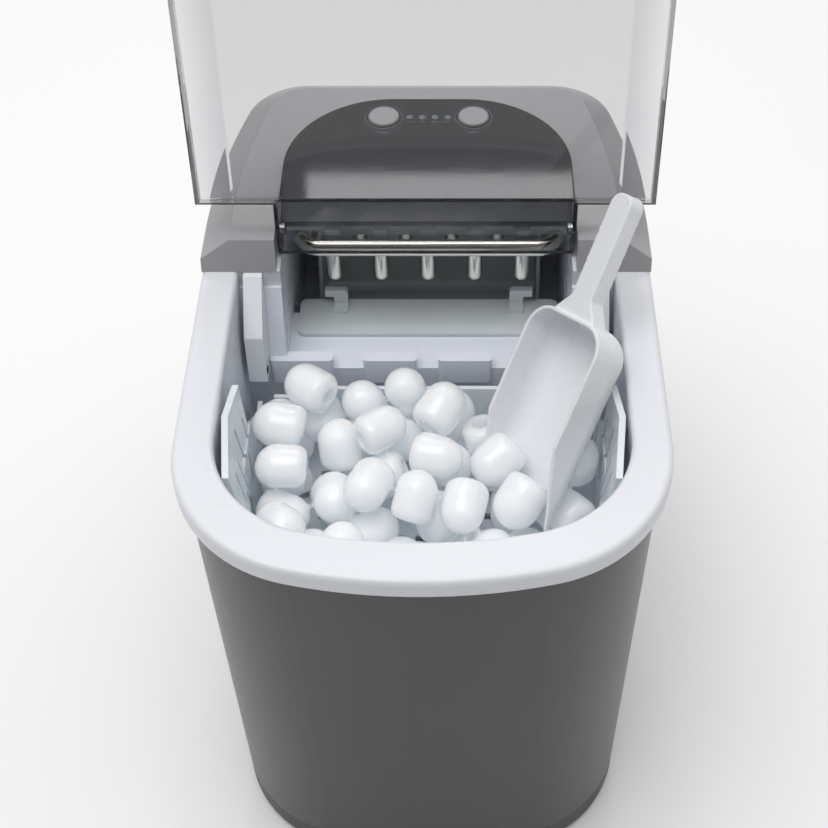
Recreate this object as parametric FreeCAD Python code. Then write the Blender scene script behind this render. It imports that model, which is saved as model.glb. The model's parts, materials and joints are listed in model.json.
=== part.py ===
import FreeCAD, Part
import math
import os
import random
from functools import lru_cache

# Countertop ice maker. Millimetres, X to the right, Y to the back, Z up.
# The origin is at the middle of the footprint, at the level of the feet.
# The rest position is the lid open, the basket in place and the water tray emptied.

Vec = FreeCAD.Vector

# ---- overall size -------------------------------------------------------------------------------
HALF_WIDTH = 121.0
HALF_DEPTH = 179.0
RIM_TOP = 308.0
RIM_HEIGHT = 10.5
RIM_UNDER = RIM_TOP - RIM_HEIGHT
FRONT_RADIUS = 280.0
CORNER_RADIUS = 75.8
FLANK_RADIUS = 420.0
FLANK_START_Y = 45.0
REAR_CORNER_RADIUS = 35.0

# ---- mouth of the ice compartment ---------------------------------------------------------------
MOUTH_HALF_WIDTH = 101.5
MOUTH_FRONT_Y = -155.4
MOUTH_FRONT_RADIUS = 260.0
MOUTH_CORNER_RADIUS = 60.0

# ---- casing -------------------------------------------------------------------------------------
CASING_INSET = 5.0
CASING_WALL = 1.2
CASING_BOTTOM = 22.0
CASING_REAR_Y = 150.0
BASE_BOTTOM = 6.0
BASE_WALL = 2.5
FOOT_RADIUS = 12.0
FOOT_X = 88.0
FOOT_Y = (-118.0, 138.0)
BASE_SCREWS = [(x, y) for x in (-40.0, 40.0) for y in (-150.0, 160.0)]

# ---- liner: ice compartment in front, freezing compartment behind -------------------------------
LINER_WALL = 2.5
TANK_FLOOR = RIM_TOP - 168.0
WALL_Y = 6.0
CHEEK_TOP_Y = 22.0
SHELF_Z = RIM_TOP - 59.5
SHELF_BACK_Y = 50.0
WELL_Z = RIM_TOP - 90.0
WELL_BACK_Y = 124.0
REAR_HALF_WIDTH = 79.0

# ---- rear cover, control panel ------------------------------------------------------------------
COVER_FRONT_Y = 21.4
COVER_LEAN = 6.5
COVER_EDGE = 7.0
COVER_TOP = RIM_TOP + 17.0
COVER_CHAMFER = 16.0
COVER_WALL = 2.5
SHOULDER_X = 81.0
BRIDGE_Y = 59.5
PANEL_TOP = COVER_TOP + 2.0
PANEL_CORNER = 60.0
PANEL_BACK_Y = 150.0
BUTTON_X = 26.0
BUTTON_Y = 132.0
BUTTON_RADIUS = 9.0

# ---- lid ----------------------------------------------------------------------------------------
LID_WALL = 2.2
HINGE_Y = 42.0
HINGE_Z = RIM_TOP + 13.0
LID_OPEN_ANGLE = 101.0
TONGUE_X = 80.0
TONGUE_BACK_Y = 53.4
WING_BACK_Y = 20.4
LID_BOTTOM = RIM_TOP + 0.8
HINGE_PIN_RADIUS = 2.0
RUNNING_FIT = 0.05

# ---- freezing parts -----------------------------------------------------------------------------
FINGER_PITCH = 26.5
FINGER_RADIUS = 4.25
FINGER_TIP = RIM_TOP - 34.4
TUBE_Z = RIM_TOP - 11.0
TUBE_RADIUS = 5.0
ROW_Y = (53.0, 80.0)
TRAY_PIVOT_Y = 102.0
TRAY_PIVOT_Z = RIM_TOP - 22.0
TRAY_DUMP_ANGLE = 65.0
TRAY_HALF_WIDTH = 66.0
TRAY_Y = (42.0, 95.0)
TRAY_Z = (RIM_TOP - 42.0, RIM_TOP - 19.0)
TRAY_WALL = 2.0
SHAFT_RADIUS = 3.0
SHOVEL_Y = (30.5, 59.0)
SHOVEL_HALF_WIDTH = 75.0
SHOVEL_THICKNESS = 2.0

# ---- basket, ice, scoop -------------------------------------------------------------------------
BASKET_GAP = 7.0
BASKET_WALL = 2.4
BASKET_FLOOR = RIM_TOP - 102.0
BASKET_REAR_Y = -8.0
BASKET_REAR_TOP = RIM_TOP - 59.0
BASKET_FRONT_TOP = RIM_TOP - 40.0
BASKET_EAR_TOP = RIM_TOP - 6.0
EAR_ROOT = RIM_TOP - 52.0
EAR_SLOTS = [(-60.5, -50.0), (-73.5, -44.0), (-86.5, -52.0), (-99.5, -46.0)]
ICE_RADIUS = 13.1
ICE_CORE = 9.8
ICE_COUNT = 66
ICE_GAP = 0.4
SETTLE_TURNS = 420
GUARD_RADIUS = 3.2
SCOOP_JUNCTION = Vec(73.0, -36.0, RIM_TOP + 25.0)
SCOOP_AXIS = Vec(0.395, 0.59, 0.705)
SCOOP_OPENING = Vec(-0.74, -0.25, 0.625)
SCOOP_HALF_WIDTH = 29.0
SCOOP_DEPTH = 27.0
SCOOP_LENGTH = 104.0
SCOOP_WALL = 2.0
HANDLE_LENGTH = 65.0
HANDLE_TILT = 1.5
HANDLE_HALF_WIDTH = 7.5
SCOOP_LIFT = Vec(0.0, -0.5, 0.8660254)

# ---- cooling unit -------------------------------------------------------------------------------
COMPRESSOR_X = -52.0
COMPRESSOR_Y = 104.0
COMPRESSOR_RADIUS = 48.0
COMPRESSOR_BOTTOM = 34.0
COMPRESSOR_TOP = 160.0
COMPRESSOR_STUBS = 172.0
FAN_X = 40.0
FAN_Z = 92.0
FAN_RADIUS = 42.0
FAN_Y = (154.0, 165.0)
FAN_SHAFT_RADIUS = 2.5
CONDENSER_Y = 108.0
CONDENSER_ROWS = 6
CONDENSER_PITCH = 18.0
CONDENSER_BOTTOM = 44.0
COIL_RADIUS = 3.5
LINE_Y = 137.0
LINE_TOP = 240.0
INLET_X = 72.0
SUCTION_X = 60.0
RIM_BACK_Y = 152.0
HOSE_BACK_Y = 146.0
PUMP_X = 60.0
PUMP_Y = -40.0
DRAIN_X = -60.0
DRAIN_Y = -60.0
DRAIN_Z = 44.0
SCREW_PLACES = [(x, z) for x in (-64.0, 64.0) for z in (36.0, 286.0)]


# ---- geometry helpers ---------------------------------------------------------------------------
def box(x_range, y_range, z_range):
    """Rectangular block between pairs of limits."""
    size = [high - low for low, high in (x_range, y_range, z_range)]
    return Part.makeBox(*size, Vec(x_range[0], y_range[0], z_range[0]))


def cylinder(radius, start, direction, length):
    """Round bar from a start point."""
    return Part.makeCylinder(radius, length, Vec(*start), Vec(*direction))


def union(shapes):
    """One solid from several that touch or overlap."""
    shapes = list(shapes)
    result = shapes[0]
    if len(shapes) > 1:
        result = result.fuse(shapes[1:])
    return result.removeSplitter()


def group(shapes):
    """Several separate solids kept in one node."""
    return Part.makeCompound(list(shapes))


def mirrored(shape):
    """The same shape on the other side of the middle plane."""
    return shape.mirror(Vec(0, 0, 0), Vec(1, 0, 0))


def both_sides(shape):
    """A shape and its mirror image."""
    return [shape, mirrored(shape)]


def polygon(points):
    """Flat face with straight sides."""
    points = [Vec(*point) for point in points]
    return Part.Face(Part.makePolygon(points + points[:1]))


def side_prism(profile, half_width):
    """A Y-Z profile pushed across the full width."""
    face = polygon([(-half_width, y, z) for y, z in profile])
    return face.extrude(Vec(2 * half_width, 0, 0))


def arc(centre, radius, start_deg, end_deg, z):
    """Circular edge in plan."""
    middle = (start_deg + end_deg) / 2
    points = []
    for angle in (start_deg, middle, end_deg):
        turn = math.radians(angle)
        x = centre[0] + radius * math.cos(turn)
        y = centre[1] + radius * math.sin(turn)
        points.append(Vec(x, y, z))
    return Part.Arc(*points).toShape()


def joined(edges):
    """Closed wire through a run of edges, with straight lines across the gaps."""
    whole = []
    for number, edge in enumerate(edges):
        start = edges[number - 1].lastVertex(True).Point
        end = edge.firstVertex(True).Point
        if start.distanceToPoint(end) > 1e-6:
            whole.append(Part.makeLine(start, end))
        whole.append(edge)
    return Part.Wire(whole)


def front_arcs(half_width, front_y, front_radius, corner_radius, z):
    """Bowed front with two round corners, from the left side to the right."""
    corner_x = half_width - corner_radius
    front_centre = front_y + front_radius
    span = front_radius - corner_radius
    corner_y = front_centre - math.sqrt(span ** 2 - corner_x ** 2)
    turn = math.degrees(math.asin(corner_x / span))
    return [arc((-corner_x, corner_y), corner_radius, 180, 270 - turn, z),
            arc((0, front_centre), front_radius, 270 - turn, 270 + turn, z),
            arc((corner_x, corner_y), corner_radius, 270 + turn, 360, z)]


def outline(inset, z):
    """Outer plan of the ice maker, drawn inset from the rim's edge."""
    front = front_arcs(HALF_WIDTH - inset, inset - HALF_DEPTH, FRONT_RADIUS - inset,
                       CORNER_RADIUS - inset, z)
    flank_x = HALF_WIDTH - FLANK_RADIUS
    corner_y = HALF_DEPTH - REAR_CORNER_RADIUS
    reach = FLANK_RADIUS - REAR_CORNER_RADIUS
    turn = math.degrees(math.asin((corner_y - FLANK_START_Y) / reach))
    corner_x = flank_x + reach * math.cos(math.radians(turn))
    flank = FLANK_RADIUS - inset
    rear = REAR_CORNER_RADIUS - inset
    back = [arc((flank_x, FLANK_START_Y), flank, 0, turn, z),
            arc((corner_x, corner_y), rear, turn, 90, z),
            arc((-corner_x, corner_y), rear, 90, 180 - turn, z),
            arc((-flank_x, FLANK_START_Y), flank, 180 - turn, 180, z)]
    return joined(front + back)


def outline_prism(inset, bottom, top):
    """Solid with the plan of the ice maker."""
    return Part.Face(outline(inset, bottom)).extrude(Vec(0, 0, top - bottom))


def mouth_prism(grow, back_y, bottom, top):
    """Solid with the plan of the ice compartment's mouth, closed straight at the back."""
    front = front_arcs(MOUTH_HALF_WIDTH + grow, MOUTH_FRONT_Y - grow, MOUTH_FRONT_RADIUS + grow,
                       MOUTH_CORNER_RADIUS + grow, bottom)
    right_front = front[-1].lastVertex(True).Point
    left_front = front[0].firstVertex(True).Point
    right_back = Vec(right_front.x, back_y, bottom)
    left_back = Vec(left_front.x, back_y, bottom)
    rest = Part.makePolygon([right_front, right_back, left_back, left_front]).Edges
    return Part.Face(Part.Wire(front + rest)).extrude(Vec(0, 0, top - bottom))


def chamfered_plan(inset, bottom, edge_z, top, slope):
    """Plan prism with upright sides to edge_z and sloped ones above."""
    lower = outline_prism(inset, bottom, edge_z)
    wires = [outline(inset, edge_z), outline(inset + slope, top)]
    upper = Part.makeLoft(wires, True, True)
    return union([lower, upper])


def bent_path(points, bend):
    """Straight runs joined by tangent arcs of one radius."""
    points = [Vec(*point) for point in points]
    edges = []
    start = points[0]
    for before, corner, after in zip(points, points[1:], points[2:]):
        incoming = (before - corner).normalize()
        outgoing = (after - corner).normalize()
        half = incoming.getAngle(outgoing) / 2
        setback = bend / math.tan(half)
        enter = corner + incoming * setback
        leave = corner + outgoing * setback
        middle_way = (incoming + outgoing).normalize()
        middle = corner + middle_way * (bend / math.sin(half) - bend)
        if start.distanceToPoint(enter) > 1e-6:
            edges.append(Part.makeLine(start, enter))
        edges.append(Part.Arc(enter, middle, leave).toShape())
        start = leave
    edges.append(Part.makeLine(start, points[-1]))
    return Part.Wire(edges)


def pipe(points, radius, bend, bore=0.0):
    """Round pipe or rod along a bent path."""
    path = bent_path(points, bend)
    direction = Vec(*points[1]) - Vec(*points[0])

    def swept(size):
        ring = Part.makeCircle(size, Vec(*points[0]), direction)
        return path.makePipeShell([Part.Wire(ring)], True, False)

    solid = Part.Solid(swept(radius))
    if bore:
        solid = solid.cut(Part.Solid(swept(bore)))
    return solid


def rounded_block(x_range, y_range, z_range, radius):
    """Block with rounded upright edges."""
    block = box(x_range, y_range, z_range)
    upright = [edge for edge in block.Edges
               if abs(edge.tangentAt(edge.FirstParameter).z) > 0.9]
    return block.makeFillet(radius, upright)


def turned(shape, y, z, angle):
    """Shape turned about a line along X."""
    result = shape.copy()
    result.rotate(Vec(0, y, z), Vec(1, 0, 0), angle)
    return result


# ---- base, feet and casing ----------------------------------------------------------------------
def feet():
    """Four rubber feet pressed into the base."""
    pads = []
    for x in (-FOOT_X, FOOT_X):
        for y in FOOT_Y:
            pad = cylinder(FOOT_RADIUS, (x, y, 0), (0, 0, 1), BASE_BOTTOM)
            pad = pad.makeFillet(1.2, [pad.Edges[2]])
            plug = cylinder(2.95, (x, y, BASE_BOTTOM), (0, 0, 1), BASE_WALL)
            pads.append(union([pad, plug]))
    return group(pads)


def base_pan():
    """Moulded tray that carries the cooling unit, flush with the casing."""
    outside = outline_prism(CASING_INSET, BASE_BOTTOM, CASING_BOTTOM)
    inside = outline_prism(CASING_INSET + BASE_WALL, BASE_BOTTOM + BASE_WALL, CASING_BOTTOM + 1)
    pan = outside.cut(inside)
    lip = outline_prism(CASING_INSET + CASING_WALL + 0.1, BASE_BOTTOM + 1, CASING_BOTTOM + 6)
    lip = lip.cut(outline_prism(CASING_INSET + CASING_WALL + 2.1, BASE_BOTTOM, CASING_BOTTOM + 7))
    lip = lip.cut(box((-200, 200), (CASING_REAR_Y - 1, 200), (CASING_BOTTOM, 100)))
    pan = union([pan, lip])
    holes = [cylinder(3.0, (x, y, 0), (0, 0, 1), 20) for x in (-FOOT_X, FOOT_X) for y in FOOT_Y]
    holes += [cylinder(1.6, (x, y, 0), (0, 0, 1), 20) for x, y in BASE_SCREWS]
    return pan.cut(holes)


def vent_slots(x, y_start, z_bottom, count, pitch, height):
    """Row of upright slots through a side wall."""
    slots = []
    for number in range(count):
        y = y_start + number * pitch
        slots.append(box((x - 12, x + 12), (y - 1.75, y + 1.75), (z_bottom, z_bottom + height)))
        for z in (z_bottom, z_bottom + height):
            slots.append(cylinder(1.75, (x - 12, y, z), (1, 0, 0), 24))
    return slots


def outer_casing():
    """Thin sheet wrapped round the front and the sides."""
    outside = outline_prism(CASING_INSET, CASING_BOTTOM, RIM_UNDER)
    inside = outline_prism(CASING_INSET + CASING_WALL, CASING_BOTTOM - 1, RIM_UNDER + 1)
    behind = box((-200, 200), (CASING_REAR_Y, 200), (0, 400))
    casing = outside.cut([inside, behind])
    for side in (-1, 1):
        for z in (60, 108, 156):
            casing = casing.cut(vent_slots(side * 114, 62, z, 9, 8, 34))
    return casing.cut(cylinder(8.1, (-HALF_WIDTH, DRAIN_Y, DRAIN_Z), (1, 0, 0), 20))


def rear_panel():
    """Moulded back with the fan grille and the cord inlet."""
    wall = 2.5
    outside = outline_prism(CASING_INSET, CASING_BOTTOM, RIM_UNDER)
    inside = outline_prism(CASING_INSET + wall, CASING_BOTTOM - 1, RIM_UNDER + 1)
    front = box((-200, 200), (-200, CASING_REAR_Y + 0.2), (0, 400))
    panel = outside.cut([inside, front])
    for number in range(11):
        z = FAN_Z - 40 + number * 8
        half = math.sqrt(FAN_RADIUS ** 2 - (z - FAN_Z) ** 2)
        for low, high in ((-half, -2), (2, half)):
            panel = panel.cut(box((FAN_X + low, FAN_X + high), (165, 185), (z - 2, z + 2)))
    for number in range(7):
        z = 200 + number * 9
        panel = panel.cut(box((-60, 60), (165, 185), (z - 2, z + 2)))
    panel = panel.cut([cylinder(1.6, (x, 160, z), (0, 1, 0), 30) for x, z in SCREW_PLACES])
    return panel.cut(cylinder(7.0, (-60, 160, 60), (0, 1, 0), 30))


def cord_gland():
    """Bush that a mains lead enters by, with its bore open."""
    body = cylinder(6.9, (-60, 164, 60), (0, 1, 0), 13)
    flange = cylinder(9.0, (-60, 174.1, 60), (0, 1, 0), 3.5)
    bush = union([body, flange])
    return bush.cut(cylinder(3.6, (-60, 160, 60), (0, 1, 0), 30))


def top_rim():
    """Rounded white deck round the mouth, running back under the rear cover."""
    deck = outline_prism(0, RIM_UNDER, RIM_TOP)
    top_edges = [edge for edge in deck.Edges
                 if all(abs(vertex.Z - RIM_TOP) < 1e-6 for vertex in edge.Vertexes)]
    deck = deck.makeFillet(3.2, top_edges)
    mouth = mouth_prism(0, CHEEK_TOP_Y, RIM_UNDER - 1, RIM_TOP + 1)
    rear = box((-REAR_HALF_WIDTH, REAR_HALF_WIDTH), (0, RIM_BACK_Y), (RIM_UNDER - 1, RIM_TOP + 1))
    deck = deck.cut([mouth, rear])
    reliefs = both_sides(box((-TONGUE_X - 1.5, -REAR_HALF_WIDTH + 1), (36, 48), (RIM_TOP - 2, RIM_TOP + 1)))
    deck = deck.cut(reliefs)
    rounded = []
    for edge in deck.Edges:
        flat = all(abs(vertex.Z - RIM_TOP) < 1e-6 for vertex in edge.Vertexes)
        centre = edge.CenterOfMass
        inner = abs(centre.x) < MOUTH_HALF_WIDTH + 1 and centre.y < CHEEK_TOP_Y - 3
        if flat and inner and centre.y > -160:
            rounded.append(edge)
    return deck.makeFillet(2.6, rounded)


# ---- liner --------------------------------------------------------------------------------------
def wide_profile(grow):
    """Side view of the ice compartment, up to the sloping cheeks."""
    cheek_foot = SHELF_Z + 4.5
    return [(-200, TANK_FLOOR - grow), (WALL_Y + grow, TANK_FLOOR - grow),
            (WALL_Y + grow, cheek_foot), (CHEEK_TOP_Y + grow, RIM_TOP - 5),
            (CHEEK_TOP_Y + grow, RIM_TOP + 20), (-200, RIM_TOP + 20)]


def narrow_profile(grow):
    """Side view of the freezing compartment: a shelf, then a well."""
    return [(-20, SHELF_Z - grow), (SHELF_BACK_Y - grow, SHELF_Z - grow),
            (SHELF_BACK_Y - grow, WELL_Z - grow), (WELL_BACK_Y + grow, WELL_Z - grow),
            (WELL_BACK_Y + grow, RIM_TOP + 20), (-20, RIM_TOP + 20)]


def liner_form(grow):
    """The hollow of the liner, grown outward by a wall thickness."""
    plan = mouth_prism(grow, CHEEK_TOP_Y + grow, TANK_FLOOR - grow, RIM_TOP + 10)
    front = plan.common(side_prism(wide_profile(grow), 150))
    rear = side_prism(narrow_profile(grow), REAR_HALF_WIDTH + grow)
    return union([front, rear])


def floor_pads():
    """Raised blocks along the front edge of the shelf, as part of the moulding."""
    blocks = []
    for x_range in ((-88, -53), (-36, -6), (6, 36), (53, 88)):
        blocks.append(rounded_block(x_range, (3.5, 11.0), (SHELF_Z - 9.5, SHELF_Z + 8.5), 2.0))
    return blocks


def liner():
    """White inner tank in one moulding, with bearings for the tray shaft."""
    shell = liner_form(LINER_WALL).cut(liner_form(0))
    flange = outline_prism(CASING_INSET + CASING_WALL + 1, RIM_UNDER - 2.5, RIM_UNDER)
    flange = flange.cut(liner_form(1.0))
    flange = flange.common(box((-200, 200), (-200, WELL_BACK_Y + 10), (0, 400)))
    flange = flange.cut(box((SUCTION_X - 8, INLET_X + 8), (WELL_BACK_Y + LINER_WALL, 150), (0, 400)))
    above = box((-200, 200), (-200, 200), (RIM_UNDER, 400))
    moulding = union([shell.cut(above), flange])
    pads = [pad.cut(liner_form(LINER_WALL).cut(liner_form(0))) for pad in floor_pads()]
    moulding = union([moulding] + [max(pad.Solids, key=lambda s: s.Volume) for pad in pads])
    holes = [cylinder(SHAFT_RADIUS + RUNNING_FIT, (-90, TRAY_PIVOT_Y, TRAY_PIVOT_Z), (1, 0, 0), 180),
             cylinder(6.0, (PUMP_X, PUMP_Y, TANK_FLOOR - 10), (0, 0, 1), 20),
             cylinder(6.0, (DRAIN_X, DRAIN_Y, TANK_FLOOR - 10), (0, 0, 1), 20)]
    for x in (SUCTION_X, INLET_X):
        holes.append(cylinder(TUBE_RADIUS + 0.1, (x, 115, TUBE_Z), (0, 1, 0), 20))
    return moulding.cut(holes)


def foam_insulation():
    """Foam jacket round the ice compartment, between liner and casing."""
    gap = 0.3
    outside = mouth_prism(9.0, -2, TANK_FLOOR - 14, RIM_UNDER - 4)
    inside = mouth_prism(LINER_WALL + gap, 0, TANK_FLOOR - LINER_WALL - gap, RIM_UNDER)
    jacket = outside.cut(inside)
    holes = [cylinder(9.0, (x, y, TANK_FLOOR - 30), (0, 0, 1), 40)
             for x, y in ((PUMP_X, PUMP_Y), (DRAIN_X, DRAIN_Y))]
    return jacket.cut(holes)


def sensor_profile():
    """Side view of a sensor arm that follows the sloping cheek."""
    return [(18, -0.6), (-4.5, -25), (-8, -57), (1, -57), (5.4, -56), (5.4, -55.2),
            (21.3, -5.2), (21.6, -0.6)]


def sensor_arm(side):
    """Hollow arm on a cheek that looks across the basket."""
    face = polygon([(0, y, RIM_TOP + z) for y, z in sensor_profile()])
    arm = face.extrude(Vec(10, 0, 0))
    edges = [edge for edge in arm.Edges if abs(edge.tangentAt(edge.FirstParameter).x) > 0.99
             and edge.CenterOfMass.y < 5 and edge.CenterOfMass.z < RIM_TOP - 20]
    arm = arm.makeFillet(1.8, edges[:3])
    core = box((2, 8), (-1, 3), (RIM_TOP - 52, RIM_TOP - 27))
    eye = cylinder(2.6, (7, -3.5, RIM_TOP - 50.5), (1, 0, 0), 6)
    arm = arm.cut([core, eye])
    arm.translate(Vec(-98.5, 0, 0))
    if side > 0:
        arm = mirrored(arm)
    return arm


def sensor_eye(side):
    """Dark lens of the ice-level sensor, standing out of its arm."""
    lens = cylinder(2.5, (-91.4, -3.5, RIM_TOP - 50.5), (1, 0, 0), 3.4)
    lens = lens.makeFillet(1.0, [max(lens.Edges, key=lambda edge: edge.CenterOfMass.x)])
    if side > 0:
        lens = mirrored(lens)
    return lens


# ---- rear cover and controls --------------------------------------------------------------------
def cover_form(inset):
    """Outside form of the rear cover, drawn inset by a wall thickness."""
    rise = COVER_TOP - RIM_TOP
    form = chamfered_plan(inset, RIM_TOP - 1, RIM_TOP + COVER_EDGE, COVER_TOP - inset, COVER_CHAMFER)
    lean = COVER_LEAN / rise
    front_y = COVER_FRONT_Y + inset
    low_y = front_y - lean * 10
    high_y = front_y + lean * (rise + 10)
    front = side_prism([(-300, RIM_TOP - 10), (low_y, RIM_TOP - 10),
                        (high_y, COVER_TOP + 10), (-300, COVER_TOP + 10)], 200)
    middle = box((-SHOULDER_X - inset, SHOULDER_X + inset), (-50, BRIDGE_Y + inset), (290, 350))
    below = box((-200, 200), (-200, 200), (RIM_TOP - 5, RIM_TOP))
    return form.cut([front, middle, below])


def rear_cover():
    """Silver cover: two shoulders beside the lid and a bridge behind it."""
    cover = cover_form(0).cut(cover_form(COVER_WALL))
    under_bridge = box((-SHOULDER_X + 2.6, SHOULDER_X - 2.6), (BRIDGE_Y - 2, BRIDGE_Y + 3),
                       (RIM_TOP - 1, RIM_TOP + 3))
    sockets = cylinder(HINGE_PIN_RADIUS + RUNNING_FIT, (-90, HINGE_Y, HINGE_Z), (1, 0, 0), 180)
    openings = [under_bridge, sockets]
    for x in (-BUTTON_X, BUTTON_X):
        openings.append(cylinder(BUTTON_RADIUS + 0.4, (x, BUTTON_Y, COVER_TOP - 10), (0, 0, 1), 20))
    for x in indicator_places():
        openings.append(cylinder(2.0, (x, BUTTON_Y, COVER_TOP - 10), (0, 0, 1), 20))
    return cover.cut(openings)


def control_panel():
    """Gloss panel laid on the bridge, with round rear corners."""
    centre_x = SHOULDER_X - PANEL_CORNER
    centre_y = PANEL_BACK_Y - PANEL_CORNER
    edges = [arc((centre_x, centre_y), PANEL_CORNER, 0, 90, COVER_TOP),
             arc((-centre_x, centre_y), PANEL_CORNER, 90, 180, COVER_TOP)]
    front = [Vec(-SHOULDER_X, BRIDGE_Y, COVER_TOP), Vec(SHOULDER_X, BRIDGE_Y, COVER_TOP)]
    edges.append(Part.makeLine(*front))
    plate = Part.Face(joined(edges)).extrude(Vec(0, 0, PANEL_TOP - COVER_TOP))
    top_edges = [edge for edge in plate.Edges
                 if all(abs(vertex.Z - PANEL_TOP) < 1e-6 for vertex in edge.Vertexes)]
    plate = plate.makeFillet(0.8, top_edges)
    openings = []
    for x in (-BUTTON_X, BUTTON_X):
        openings.append(cylinder(BUTTON_RADIUS + 0.4, (x, BUTTON_Y, COVER_TOP - 1), (0, 0, 1), 5))
    for x in indicator_places():
        openings.append(cylinder(2.0, (x, BUTTON_Y, COVER_TOP - 1), (0, 0, 1), 5))
    return plate.cut(openings)


def indicator_places():
    """X of each small lamp between the two buttons."""
    return [-11.0, -3.7, 3.7, 11.0]


def indicator_lenses():
    """Four small lamps let into the panel."""
    bottom = RIM_TOP + 11.5
    return group(cylinder(1.95, (x, BUTTON_Y, bottom), (0, 0, 1), PANEL_TOP + 0.2 - bottom)
                 for x in indicator_places())


def push_button(x):
    """Domed key with a stem that reaches the switch below."""
    cap = cylinder(BUTTON_RADIUS, (x, BUTTON_Y, COVER_TOP - 3), (0, 0, 1), 6.4)
    cap = cap.makeFillet(1.2, [max(cap.Edges, key=lambda edge: edge.CenterOfMass.z)])
    stem = cylinder(2.5, (x, BUTTON_Y, RIM_TOP + 12.4), (0, 0, 1), 3)
    return union([cap, stem])


def control_board():
    """Circuit board under the panel with a key switch below each button."""
    plate = box((-48, 48), (112, 146), (RIM_TOP + 6, RIM_TOP + 7.6))
    switches = [box((x - 3, x + 3), (BUTTON_Y - 3, BUTTON_Y + 3), (RIM_TOP + 7.6, RIM_TOP + 11.2))
                for x in (-BUTTON_X, BUTTON_X)]
    lamps = [cylinder(1.5, (x, BUTTON_Y, RIM_TOP + 7.6), (0, 0, 1), 3.4) for x in indicator_places()]
    posts = [cylinder(2.5, (x, 142, RIM_TOP + 7.6), (0, 0, 1), 6.9) for x in (-42, 42)]
    return union([plate] + switches + lamps + posts)


# ---- lid ----------------------------------------------------------------------------------------
def lid_form(inset):
    """Lid in its closed place, drawn inset by a wall thickness."""
    top = COVER_TOP - inset
    form = chamfered_plan(inset + 0.2, LID_BOTTOM - 1, RIM_TOP + COVER_EDGE, top, COVER_CHAMFER)
    lean = COVER_LEAN / (COVER_TOP - RIM_TOP)
    wing_y = WING_BACK_Y - inset
    behind = side_prism([(wing_y - lean * 10, RIM_TOP - 10), (300, RIM_TOP - 10),
                         (300, COVER_TOP + 10), (wing_y + lean * 27, COVER_TOP + 10)], 200)
    tongue_x = TONGUE_X - inset
    tongue = box((-tongue_x, tongue_x), (-20, TONGUE_BACK_Y - inset), (LID_BOTTOM - 1, top))
    below = box((-200, 200), (-200, 200), (RIM_TOP - 5, LID_BOTTOM))
    tongue = tongue.cut(side_prism([(30, LID_BOTTOM - 2), (60, LID_BOTTOM - 2),
                                    (60, RIM_TOP + 7), (36, LID_BOTTOM + 0.5)], 200))
    return union([form.cut(behind), tongue]).cut(below)


def lid():
    """Smoky clear lid, standing open."""
    inside = lid_form(LID_WALL)
    inside = union([inside, inside.translated(Vec(0, 0, -3))])
    shell = lid_form(0).cut(inside)
    pins = cylinder(HINGE_PIN_RADIUS - 0.3, (-TONGUE_X, HINGE_Y, HINGE_Z), (1, 0, 0), 2 * TONGUE_X)
    bosses = []
    for side in (-1, 1):
        start = side * TONGUE_X
        boss = cylinder(3.4, (start, HINGE_Y, HINGE_Z), (-side, 0, 0), LID_WALL + 1.8)
        bosses.append(boss)
    shell = union([shell] + bosses)
    holes = [cylinder(HINGE_PIN_RADIUS, (side * (TONGUE_X + 1), HINGE_Y, HINGE_Z), (-side, 0, 0), 4.4)
             for side in (-1, 1)]
    shell = shell.cut(holes)
    return turned(shell, HINGE_Y, HINGE_Z, -LID_OPEN_ANGLE)


def lid_hinge_pins():
    """Steel stub pins pressed into the lid and turning in the shoulders."""
    pins = []
    for side in (-1, 1):
        start = side * (TONGUE_X - 3.4)
        pins.append(cylinder(HINGE_PIN_RADIUS, (start, HINGE_Y, HINGE_Z), (side, 0, 0), 8.0))
    return group(pins)


# ---- evaporator, tray and shovel ----------------------------------------------------------------
def evaporator_tube():
    """Plated tube: two runs over the tray, joined by a bend, with both ends to the back."""
    front_y, back_y = ROW_Y
    bend = 10.0
    left_x = -57.0
    points = [(SUCTION_X, LINE_Y, LINE_TOP), (SUCTION_X, LINE_Y, TUBE_Z),
              (SUCTION_X, back_y, TUBE_Z), (left_x - 13.5, back_y, TUBE_Z),
              (left_x - 13.5, front_y, TUBE_Z), (INLET_X, front_y, TUBE_Z),
              (INLET_X, LINE_Y, TUBE_Z), (INLET_X, LINE_Y, LINE_TOP)]
    return pipe(points, TUBE_RADIUS, bend)


def evaporator_fingers():
    """Nine plated fingers that the ice grows on, as a group of equal pieces."""
    front_y, back_y = ROW_Y
    places = [(step * FINGER_PITCH, front_y) for step in range(-2, 3)]
    places += [((step - 1.5) * FINGER_PITCH, back_y) for step in range(4)]
    fingers = []
    for x, y in places:
        top = TUBE_Z - TUBE_RADIUS + 0.7
        bottom = FINGER_TIP + FINGER_RADIUS
        stem = cylinder(FINGER_RADIUS, (x, y, bottom), (0, 0, 1), top - bottom + 1.5)
        tip = Part.makeSphere(FINGER_RADIUS, Vec(x, y, bottom))
        run = cylinder(TUBE_RADIUS, (x - 10, y, TUBE_Z), (1, 0, 0), 20)
        fingers.append(union([stem, tip]).cut(run))
    return group(fingers)


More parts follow.
